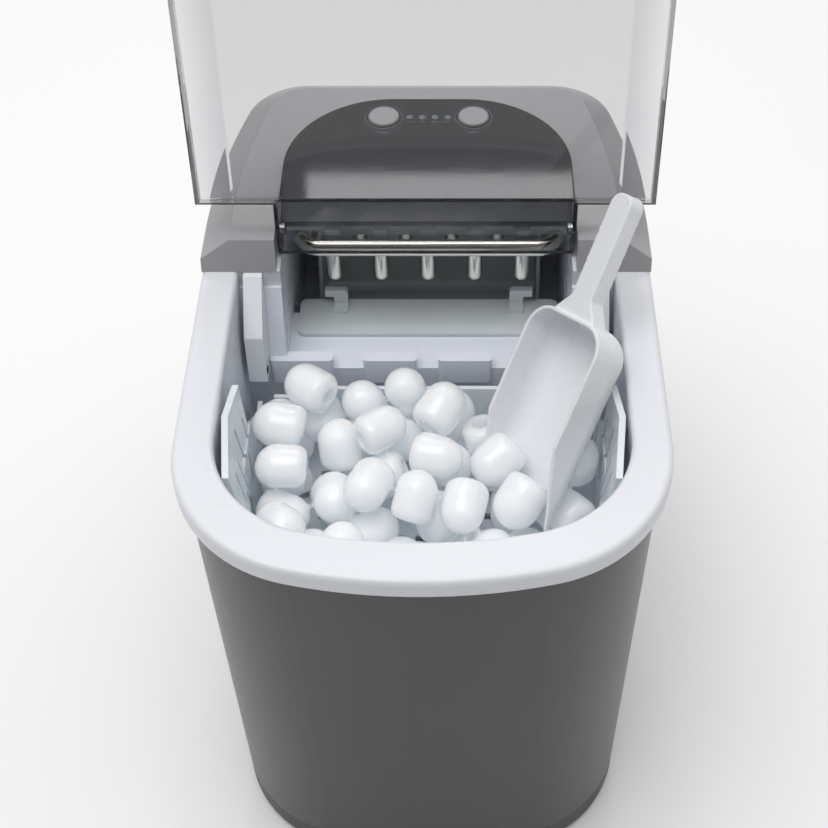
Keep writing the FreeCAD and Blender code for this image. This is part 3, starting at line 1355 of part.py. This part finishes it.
SUBPARTS = {
    "feet": feet,
    "base_pan": base_pan,
    "outer_casing": outer_casing,
    "rear_panel": rear_panel,
    "cord_gland": cord_gland,
    "top_rim": top_rim,
    "liner": liner,
    "foam_insulation": foam_insulation,
    "sensor_arm_left": lambda: sensor_arm(-1),
    "sensor_arm_right": lambda: sensor_arm(1),
    "ir_emitter": lambda: sensor_eye(-1),
    "ir_receiver": lambda: sensor_eye(1),
    "rear_cover": rear_cover,
    "control_panel": control_panel,
    "indicator_lenses": indicator_lenses,
    "power_button": lambda: push_button(-BUTTON_X),
    "select_button": lambda: push_button(BUTTON_X),
    "control_board": control_board,
    "lid": lid,
    "lid_hinge_pins": lid_hinge_pins,
    "evaporator_tube": evaporator_tube,
    "evaporator_fingers": evaporator_fingers,
    "evaporator_bracket": evaporator_bracket,
    "water_tray": water_tray,
    "tray_shaft": tray_shaft,
    "tray_motor": tray_motor,
    "ice_shovel": ice_shovel,
    "shovel_brackets": shovel_brackets,
    "basket": basket,
    "bullet_ice": bullet_ice,
    "scoop_ice": scoop_ice,
    "scoop": scoop,
    "compressor": compressor,
    "compressor_mounts": compressor_mounts,
    "terminal_cover": terminal_cover,
    "condenser_coil": condenser_coil,
    "condenser_fins": condenser_fins,
    "fan_shroud": fan_shroud,
    "fan_motor": fan_motor,
    "fan_shaft": fan_shaft,
    "fan_blades": fan_blades,
    "filter_drier": filter_drier,
    "capillary_tube": capillary_tube,
    "inlet_tee": inlet_tee,
    "suction_line": suction_line,
    "discharge_line": discharge_line,
    "hot_gas_line": hot_gas_line,
    "hot_gas_valve": hot_gas_valve,
    "water_pump": water_pump,
    "pump_impeller": pump_impeller,
    "fill_hose": fill_hose,
    "drain_hose": drain_hose,
    "drain_fitting": drain_fitting,
    "drain_plug": drain_plug,
    "main_board": main_board,
    "board_components": board_components,
    "panel_screws": panel_screws,
    "base_screws": base_screws,
}

os.makedirs("parts", exist_ok=True)
for name, make in SUBPARTS.items():
    shape = make()
    print(name, len(shape.Solids), round(shape.Volume), shape.isValid(), flush=True)
    shape.exportStep(os.path.join("parts", name + ".step"))
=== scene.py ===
import json
import math

import bmesh
import bpy
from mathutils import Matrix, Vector, noise


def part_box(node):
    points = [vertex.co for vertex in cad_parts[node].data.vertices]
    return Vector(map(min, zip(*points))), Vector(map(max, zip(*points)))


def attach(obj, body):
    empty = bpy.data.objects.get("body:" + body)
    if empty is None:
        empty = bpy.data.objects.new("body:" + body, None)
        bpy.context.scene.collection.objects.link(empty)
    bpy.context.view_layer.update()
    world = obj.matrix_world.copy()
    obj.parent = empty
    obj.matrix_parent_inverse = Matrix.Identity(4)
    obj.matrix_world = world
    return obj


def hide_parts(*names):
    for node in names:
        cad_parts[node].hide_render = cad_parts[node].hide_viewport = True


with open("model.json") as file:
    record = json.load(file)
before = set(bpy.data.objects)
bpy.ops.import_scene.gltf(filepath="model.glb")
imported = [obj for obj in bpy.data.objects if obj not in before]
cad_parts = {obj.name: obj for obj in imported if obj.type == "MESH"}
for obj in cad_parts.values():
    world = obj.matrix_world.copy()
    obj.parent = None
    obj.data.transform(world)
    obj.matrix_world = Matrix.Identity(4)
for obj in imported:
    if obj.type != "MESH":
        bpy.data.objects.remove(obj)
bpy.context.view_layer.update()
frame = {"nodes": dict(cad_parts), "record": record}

NODES = frame["nodes"]
MM = 0.001


# ---- camera -------------------------------------------------------------------------------------
def make_camera():
    """Looks down into the open machine from the front."""
    pitch = math.radians(49.2)
    focal = 1370 / 828
    rim_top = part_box("top_rim")[1].z
    data = bpy.data.cameras.new("camera")
    data.sensor_width = 36.0
    data.lens = data.sensor_width * focal
    data.shift_x = -0.0531
    data.clip_start = 0.01
    camera = bpy.data.objects.new("camera", data)
    camera.location = (0.01705, -0.51835, rim_top + 0.50832)
    camera.rotation_euler = (math.pi / 2 - pitch, 0, 0)
    bpy.context.scene.collection.objects.link(camera)
    bpy.context.scene.camera = camera


# ---- material helpers ---------------------------------------------------------------------------
def new_material(name, colour, roughness, metallic=0.0):
    """A Principled material and the parts of it that the other helpers need."""
    material = bpy.data.materials.new(name)
    material.use_nodes = True
    tree = material.node_tree
    shader = tree.nodes["Principled BSDF"]
    shader.inputs["Base Color"].default_value = (*colour, 1)
    shader.inputs["Roughness"].default_value = roughness
    shader.inputs["Metallic"].default_value = metallic
    return material, tree, shader


def noise_field(tree, scale, detail=3.0, stretch=(1, 1, 1)):
    """Noise over the object's own coordinates, in metres."""
    place = tree.nodes.new("ShaderNodeTexCoord")
    mapping = tree.nodes.new("ShaderNodeMapping")
    mapping.inputs["Scale"].default_value = stretch
    texture = tree.nodes.new("ShaderNodeTexNoise")
    texture.inputs["Scale"].default_value = scale
    texture.inputs["Detail"].default_value = detail
    tree.links.new(place.outputs["Object"], mapping.inputs["Vector"])
    tree.links.new(mapping.outputs["Vector"], texture.inputs["Vector"])
    return texture.outputs["Fac"]


def vary_colour(tree, shader, field, colour, spread):
    """Drifts the base colour a little lighter and darker."""
    ramp = tree.nodes.new("ShaderNodeValToRGB")
    ramp.color_ramp.elements[0].position = 0.3
    ramp.color_ramp.elements[1].position = 0.7
    ramp.color_ramp.elements[0].color = (*[c * (1 - spread) for c in colour], 1)
    ramp.color_ramp.elements[1].color = (*[min(1, c * (1 + spread)) for c in colour], 1)
    tree.links.new(field, ramp.inputs["Fac"])
    tree.links.new(ramp.outputs["Color"], shader.inputs["Base Color"])


def vary_roughness(tree, shader, field, low, high):
    """Drifts the roughness between two values."""
    spread = tree.nodes.new("ShaderNodeMapRange")
    spread.inputs["From Min"].default_value = 0.3
    spread.inputs["From Max"].default_value = 0.7
    spread.inputs["To Min"].default_value = low
    spread.inputs["To Max"].default_value = high
    tree.links.new(field, spread.inputs["Value"])
    tree.links.new(spread.outputs["Result"], shader.inputs["Roughness"])


def add_bump(tree, shader, field, strength, distance):
    """Fine relief from a field."""
    bump = tree.nodes.new("ShaderNodeBump")
    bump.inputs["Strength"].default_value = strength
    bump.inputs["Distance"].default_value = distance
    tree.links.new(field, bump.inputs["Height"])
    tree.links.new(bump.outputs["Normal"], shader.inputs["Normal"])


# ---- material families --------------------------------------------------------------------------
def moulded(name, colour, roughness, grain=900, relief=0.06, spread=0.02):
    """Moulded plastic: a fine surface grain, faint flow marks and handling marks."""
    material, tree, shader = new_material(name, colour, roughness)
    shader.inputs["IOR"].default_value = 1.49
    vary_colour(tree, shader, noise_field(tree, 9, 2), colour, spread)
    vary_roughness(tree, shader, noise_field(tree, 60, 4), roughness * 0.85, roughness * 1.15)
    add_bump(tree, shader, noise_field(tree, grain, 2), relief, 0.0004)
    return material


def translucent(name, colour, roughness, transmission, spread=0.03):
    """Milky plastic that lets some light through."""
    material, tree, shader = new_material(name, colour, roughness)
    shader.inputs["Transmission Weight"].default_value = transmission
    shader.inputs["IOR"].default_value = 1.45
    vary_colour(tree, shader, noise_field(tree, 20, 2), colour, spread)
    vary_roughness(tree, shader, noise_field(tree, 60, 2), roughness * 0.92, roughness * 1.08)
    add_bump(tree, shader, noise_field(tree, 500, 2), 0.03, 0.0003)
    return material


def metal(name, colour, roughness, stretch=(1, 1, 1), scale=300, relief=0.05):
    """Bare or plated metal, with drawing or brushing lines along the stretched axis."""
    material, tree, shader = new_material(name, colour, roughness, 1.0)
    lines = noise_field(tree, scale, 3, stretch)
    vary_colour(tree, shader, noise_field(tree, 25, 3), colour, 0.08)
    vary_roughness(tree, shader, lines, roughness * 0.7, roughness * 1.3)
    add_bump(tree, shader, lines, relief, 0.0002)
    return material


def satin(name, colour, roughness):
    """Coated sheet metal with a very fine upright grain."""
    material, tree, shader = new_material(name, colour, roughness, 0.9)
    grain = noise_field(tree, 900, 2, (1, 1, 0.03))
    vary_colour(tree, shader, noise_field(tree, 8, 2), colour, 0.04)
    vary_roughness(tree, shader, grain, roughness * 0.95, roughness * 1.05)
    add_bump(tree, shader, grain, 0.012, 0.0002)
    return material


def rubber(name, colour):
    """Matt rubber with a dusty grain."""
    material, tree, shader = new_material(name, colour, 0.75)
    vary_colour(tree, shader, noise_field(tree, 140, 5), colour, 0.3)
    vary_roughness(tree, shader, noise_field(tree, 300, 3), 0.6, 0.85)
    add_bump(tree, shader, noise_field(tree, 1500, 3), 0.25, 0.0003)
    return material


def smoked_clear():
    """Clear smoky plastic of the lid: the smoke is in its depth, so its edges look black."""
    colour = (0.95, 0.95, 0.955)
    material, tree, shader = new_material("lid_smoke", colour, 0.03)
    shader.inputs["Transmission Weight"].default_value = 1.0
    shader.inputs["IOR"].default_value = 1.42
    vary_colour(tree, shader, noise_field(tree, 6, 2), colour, 0.015)
    vary_roughness(tree, shader, noise_field(tree, 40, 2), 0.0, 0.02)
    add_bump(tree, shader, noise_field(tree, 12, 2), 0.02, 0.0006)
    smoke = tree.nodes.new("ShaderNodeVolumeAbsorption")
    smoke.inputs["Color"].default_value = (0.1, 0.1, 0.12, 1)
    smoke.inputs["Density"].default_value = 150.0
    tree.links.new(smoke.outputs["Volume"], tree.nodes["Material Output"].inputs["Volume"])
    return material


def cloudy_ice_painted_glow():
    """Cloudy ice: milky inside, wet and smooth outside, with a faint painted glow that lightens
    its shaded sides.
    """
    colour = (0.92, 0.95, 0.975)
    material, tree, shader = new_material("ice", colour, 0.1)
    shader.inputs["Subsurface Weight"].default_value = 1.0
    shader.inputs["Subsurface Radius"].default_value = (0.9, 1.0, 1.1)
    shader.inputs["Subsurface Scale"].default_value = 0.012
    shader.inputs["Coat Weight"].default_value = 0.5
    shader.inputs["Coat Roughness"].default_value = 0.04
    # Painted glow: a faint bluish emission lightens the shaded sides of the ice, which is no lamp.
    shader.inputs["Emission Color"].default_value = (0.85, 0.92, 1.0, 1)
    shader.inputs["Emission Strength"].default_value = 0.07
    shader.inputs["IOR"].default_value = 1.31
    shader.inputs["Transmission Weight"].default_value = 0.15
    vary_colour(tree, shader, noise_field(tree, 60, 2), colour, 0.03)
    vary_roughness(tree, shader, noise_field(tree, 90, 2), 0.1, 0.2)
    add_bump(tree, shader, noise_field(tree, 110, 2), 0.12, 0.0006)
    return material


def lacquered_board():
    """Green solder-resist over copper tracks."""
    colour = (0.02, 0.16, 0.06)
    material, tree, shader = new_material("board_green", colour, 0.35)
    tracks = tree.nodes.new("ShaderNodeTexBrick")
    tracks.inputs["Scale"].default_value = 90
    tracks.inputs["Color1"].default_value = (0.02, 0.14, 0.05, 1)
    tracks.inputs["Color2"].default_value = (0.02, 0.20, 0.08, 1)
    tracks.inputs["Mortar"].default_value = (0.10, 0.32, 0.12, 1)
    place = tree.nodes.new("ShaderNodeTexCoord")
    tree.links.new(place.outputs["Object"], tracks.inputs["Vector"])
    tree.links.new(tracks.outputs["Color"], shader.inputs["Base Color"])
    vary_roughness(tree, shader, noise_field(tree, 200, 3), 0.25, 0.45)
    add_bump(tree, shader, tracks.outputs["Fac"], 0.3, 0.0002)
    return material


def make_materials():
    """Every finish by the name of its slot in the record."""
    drawn = (40, 1, 1)
    upright = (1, 1, 0.02)
    return {
        "rim_white": moulded("rim_white", (0.735, 0.75, 0.785), 0.32),
        "liner_white": moulded("liner_white", (0.77, 0.80, 0.87), 0.3),
        # Painted shade: the silver casing gets a near-black colour that stands in for its dim
        # reflection of the dark surround low in front.
        "casing_silver": satin("casing_silver", (0.085, 0.085, 0.087), 0.36),
        "back_grey": moulded("back_grey", (0.12, 0.12, 0.125), 0.5, 1200, 0.25),
        "base_dark": moulded("base_dark", (0.05, 0.05, 0.055), 0.5, 1200, 0.25),
        "foot_rubber": rubber("foot_rubber", (0.02, 0.02, 0.02)),
        "gland_rubber": rubber("gland_rubber", (0.025, 0.025, 0.027)),
        "foam": moulded("foam", (0.85, 0.84, 0.8), 0.8, 250, 0.6),
        "arm_white": moulded("arm_white", (0.83, 0.85, 0.88), 0.35),
        "sensor_dark": moulded("sensor_dark", (0.006, 0.006, 0.007), 0.1),
        "cover_silver": moulded("cover_silver", (0.35, 0.35, 0.36), 0.33, 1400, 0.1),
        "panel_black": moulded("panel_black", (0.010, 0.010, 0.013), 0.05, 400, 0.01),
        "lamp_clear": translucent("lamp_clear", (0.7, 0.8, 0.9), 0.1, 0.8),
        "button_grey": moulded("button_grey", (0.35, 0.35, 0.36), 0.3),
        "board_green": lacquered_board(),
        "lid_smoke": smoked_clear(),
        "steel_pin": metal("steel_pin", (0.55, 0.55, 0.56), 0.25),
        "plated": metal("plated", (0.80, 0.77, 0.70), 0.12, (1, 1, 1), 200, 0.02),
        "bracket_white": moulded("bracket_white", (0.62, 0.67, 0.68), 0.4),
        "tray_clear": translucent("tray_clear", (0.72, 0.77, 0.77), 0.2, 0.3),
        "motor_grey": moulded("motor_grey", (0.2, 0.2, 0.21), 0.45),
        "shovel_grey": translucent("shovel_grey", (0.70, 0.75, 0.77), 0.3, 0.1),
        "basket_clear": translucent("basket_clear", (0.82, 0.87, 0.90), 0.28, 0.08),
        "ice": cloudy_ice_painted_glow(),
        "scoop_white": moulded("scoop_white", (0.84, 0.855, 0.88), 0.28, 700, 0.02, 0.01),
        "compressor_black": moulded("compressor_black", (0.01, 0.01, 0.011), 0.2, 300, 0.2),
        "mount_rubber": rubber("mount_rubber", (0.03, 0.03, 0.03)),
        "terminal_black": moulded("terminal_black", (0.03, 0.03, 0.033), 0.5),
        "copper": metal("copper", (0.72, 0.38, 0.22), 0.28, drawn, 200),
        "fin_aluminium": metal("fin_aluminium", (0.7, 0.71, 0.72), 0.35, upright, 400),
        "shroud_grey": moulded("shroud_grey", (0.1, 0.1, 0.105), 0.5),
        "fan_grey": moulded("fan_grey", (0.42, 0.43, 0.44), 0.4),
        "valve_brass": metal("valve_brass", (0.66, 0.5, 0.22), 0.3),
        "pump_white": moulded("pump_white", (0.62, 0.63, 0.64), 0.4),
        "impeller_blue": moulded("impeller_blue", (0.1, 0.2, 0.4), 0.35),
        "hose_clear": translucent("hose_clear", (0.75, 0.75, 0.70), 0.35, 0.4),
        "fitting_grey": moulded("fitting_grey", (0.14, 0.14, 0.15), 0.45),
        "plug_grey": rubber("plug_grey", (0.07, 0.07, 0.072)),
        "component_mix": moulded("component_mix", (0.05, 0.08, 0.15), 0.4),
        "screw_steel": metal("screw_steel", (0.5, 0.5, 0.51), 0.3),
    }


# ---- mesh helpers -------------------------------------------------------------------------------
def shade_by_angle(mesh, degrees):
    """Smooth shading with crisp edges where faces meet at more than an angle."""
    mesh.polygons.foreach_set("use_smooth", [True] * len(mesh.polygons))
    work = bmesh.new()
    work.from_mesh(mesh)
    limit = math.radians(degrees)
    for edge in work.edges:
        edge.smooth = len(edge.link_faces) == 2 and edge.calc_face_angle(0) < limit
    work.to_mesh(mesh)
    work.free()


def new_piece(name, mesh, body, material):
    """A mesh as an object of the model, riding on a body."""
    piece = bpy.data.objects.new(name, mesh)
    bpy.context.scene.collection.objects.link(piece)
    if not mesh.materials:
        mesh.materials.append(material)
    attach(piece, body)
    return piece


# ---- carried-over parts -------------------------------------------------------------------------
def dress_nodes(materials):
    """Gives every CAD node its finish and smooth shading."""
    for row in frame["record"]["subparts"]:
        node = NODES[row["node"]]
        node.data.materials.clear()
        node.data.materials.append(materials[row["material_slot"]])
        shade_by_angle(node.data, 28)


# ---- ice ----------------------------------------------------------------------------------------
def split_islands(mesh):
    """Lists of the vertices of each separate piece of a mesh."""
    near = [[] for _ in mesh.vertices]
    for edge in mesh.edges:
        first, second = edge.vertices
        near[first].append(second)
        near[second].append(first)
    seen = [False] * len(near)
    islands = []
    for start in range(len(near)):
        if seen[start]:
            continue
        seen[start] = True
        island = [start]
        for index in island:
            for other in near[index]:
                if not seen[other]:
                    seen[other] = True
                    island.append(other)
        islands.append(island)
    return islands


def evaluated_mesh(piece, name):
    """The mesh of an object after its modifiers, which are then dropped."""
    graph = bpy.context.evaluated_depsgraph_get()
    result = bpy.data.meshes.new_from_object(piece.evaluated_get(graph))
    result.name = name
    piece.modifiers.clear()
    piece.data = result
    return result


def melt(name, node, body, material):
    """Melted, slightly uneven ice grown from the CAD pieces of a node."""
    mesh = NODES[node].data.copy()
    mesh.materials.clear()
    for island in split_islands(mesh):
        places = [mesh.vertices[index].co for index in island]
        centre = sum(places, Vector()) / len(places)
        for index in island:
            vertex = mesh.vertices[index]
            vertex.co = centre + (vertex.co - centre) * 0.95
    piece = bpy.data.objects.new(name, mesh)
    bpy.context.scene.collection.objects.link(piece)
    remesh = piece.modifiers.new("remesh", "REMESH")
    remesh.mode = "VOXEL"
    remesh.voxel_size = 0.9 * MM
    smooth = piece.modifiers.new("smooth", "SMOOTH")
    smooth.factor = 0.5
    smooth.iterations = 5
    result = evaluated_mesh(piece, name)
    work = bmesh.new()
    work.from_mesh(result)
    work.normal_update()
    for vertex in work.verts:
        broad = noise.noise(vertex.co * 45)
        fine = noise.noise(vertex.co * 130 + Vector((3, 5, 7)))
        depth = 0.8 * MM * max(0.0, broad + 0.3) + 0.15 * MM * (fine + 0.6)
        vertex.co -= vertex.normal * depth
    work.to_mesh(result)
    work.free()
    result.materials.append(material)
    result.polygons.foreach_set("use_smooth", [True] * len(result.polygons))
    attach(piece, body)
    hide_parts(node)


# ---- scoop --------------------------------------------------------------------------------------
def mould_scoop(material):
    """Scoop with softened moulded edges, grown from the CAD form."""
    mesh = NODES["scoop"].data.copy()
    mesh.materials.clear()
    piece = bpy.data.objects.new("scoop_moulded", mesh)
    bpy.context.scene.collection.objects.link(piece)
    remesh = piece.modifiers.new("remesh", "REMESH")
    remesh.mode = "VOXEL"
    remesh.voxel_size = 0.55 * MM
    smooth = piece.modifiers.new("smooth", "SMOOTH")
    smooth.factor = 0.5
    smooth.iterations = 3
    result = evaluated_mesh(piece, "scoop_moulded")
    result.materials.append(material)
    result.polygons.foreach_set("use_smooth", [True] * len(result.polygons))
    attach(piece, "scoop")
    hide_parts("scoop")


# ---- panel marks --------------------------------------------------------------------------------
def ring(work, centre, inner, outer, sides=48):
    """Flat ring facing up."""
    rows = []
    for step in range(sides):
        angle = 2 * math.pi * step / sides
        way = Vector((math.cos(angle), math.sin(angle), 0))
        rows.append((work.verts.new(centre + way * inner), work.verts.new(centre + way * outer)))
    for step in range(sides):
        first, second = rows[step], rows[(step + 1) % sides]
        work.faces.new((first[0], first[1], second[1], second[0]))


def bar(work, centre, half_x, half_y):
    """Flat bar facing up."""
    corners = [(-half_x, -half_y), (half_x, -half_y), (half_x, half_y), (-half_x, half_y)]
    work.faces.new([work.verts.new(centre + Vector((x, y, 0))) for x, y in corners])


def mark_panel(material):
    """Printed rings round the buttons and a bar under each lamp."""
    work = bmesh.new()
    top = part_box("control_panel")[1].z + 0.04 * MM
    for name in ("power_button", "select_button"):
        low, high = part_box(name)
        centre = (low + high) / 2
        centre.z = top
        radius = (high.x - low.x) / 2
        ring(work, centre, radius + 1.6 * MM, radius + 2.0 * MM)
        bar(work, centre + Vector((0, -radius - 5 * MM, 0)), 3.5 * MM, 0.4 * MM)
    low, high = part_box("indicator_lenses")
    count = 4
    for step in range(count):
        across = low.x + (high.x - low.x) * (step + 0.5) / count
        bar(work, Vector((across, low.y - 2.5 * MM, top)), 1.5 * MM, 0.3 * MM)
    mesh = bpy.data.meshes.new("panel_marks")
    work.to_mesh(mesh)
    work.free()
    new_piece("panel_marks", mesh, "housing", material)


# ---- surroundings -------------------------------------------------------------------------------
def make_floor():
    """Plain pale floor."""
    mesh = bpy.data.meshes.new("floor")
    size = 6.0
    mesh.from_pydata([(-size, -size, 0), (size, -size, 0), (size, size, 0), (-size, size, 0)],
                     [], [(0, 1, 2, 3)])
    floor = bpy.data.objects.new("floor", mesh)
    bpy.context.scene.collection.objects.link(floor)
    material, _, shader = new_material("floor", (0.9, 0.9, 0.9), 0.9)
    shader.inputs["Specular IOR Level"].default_value = 0.1
    mesh.materials.append(material)


def area_light(name, place, target, size, power, colour=(1, 1, 1)):
    """Soft rectangular light aimed at a point."""
    data = bpy.data.lights.new(name, "AREA")
    data.shape = "RECTANGLE"
    data.size, data.size_y = size
    data.energy = power
    data.color = colour
    light = bpy.data.objects.new(name, data)
    light.location = place
    way = Vector(target) - Vector(place)
    light.rotation_euler = way.to_track_quat("-Z", "Y").to_euler()
    bpy.context.scene.collection.objects.link(light)


def make_world():
    """White surround: bright overhead and behind, dim low down in front."""
    world = bpy.data.worlds.new("world")
    world.use_nodes = True
    tree = world.node_tree
    place = tree.nodes.new("ShaderNodeTexCoord")
    lean = tree.nodes.new("ShaderNodeVectorMath")
    lean.operation = "DOT_PRODUCT"
    lean.inputs[1].default_value = (0.0, 0.5, 0.866)
    ramp = tree.nodes.new("ShaderNodeValToRGB")
    ramp.color_ramp.elements[0].position = 0.0
    ramp.color_ramp.elements[0].color = (0.10, 0.10, 0.10, 1)
    ramp.color_ramp.elements[1].position = 0.75
    ramp.color_ramp.elements[1].color = (0.86, 0.86, 0.87, 1)
    tree.links.new(place.outputs["Generated"], lean.inputs[0])
    tree.links.new(lean.outputs["Value"], ramp.inputs["Fac"])
    tree.links.new(ramp.outputs["Color"], tree.nodes["Background"].inputs["Color"])
    bpy.context.scene.world = world


def make_light():
    """Soft studio light: a large one overhead and a window-like one behind."""
    area_light("softbox_top", (-0.35, -0.35, 2.4), (0, 0, 0.3), (1.5, 1.5), 23)
    area_light("softbox_back", (0.0, 1.87, 2.30), (0, 0.08, 0.327), (0.72, 0.80), 12)
    bpy.context.scene.view_settings.view_transform = "Standard"


make_camera()
materials = make_materials()
dress_nodes(materials)
melt("basket_pieces", "bullet_ice", "basket", materials["ice"])
melt("scooped_pieces", "scoop_ice", "scoop", materials["ice"])
mould_scoop(materials["scoop_white"])
mark_panel(materials["lamp_clear"])
make_floor()
make_world()
make_light()
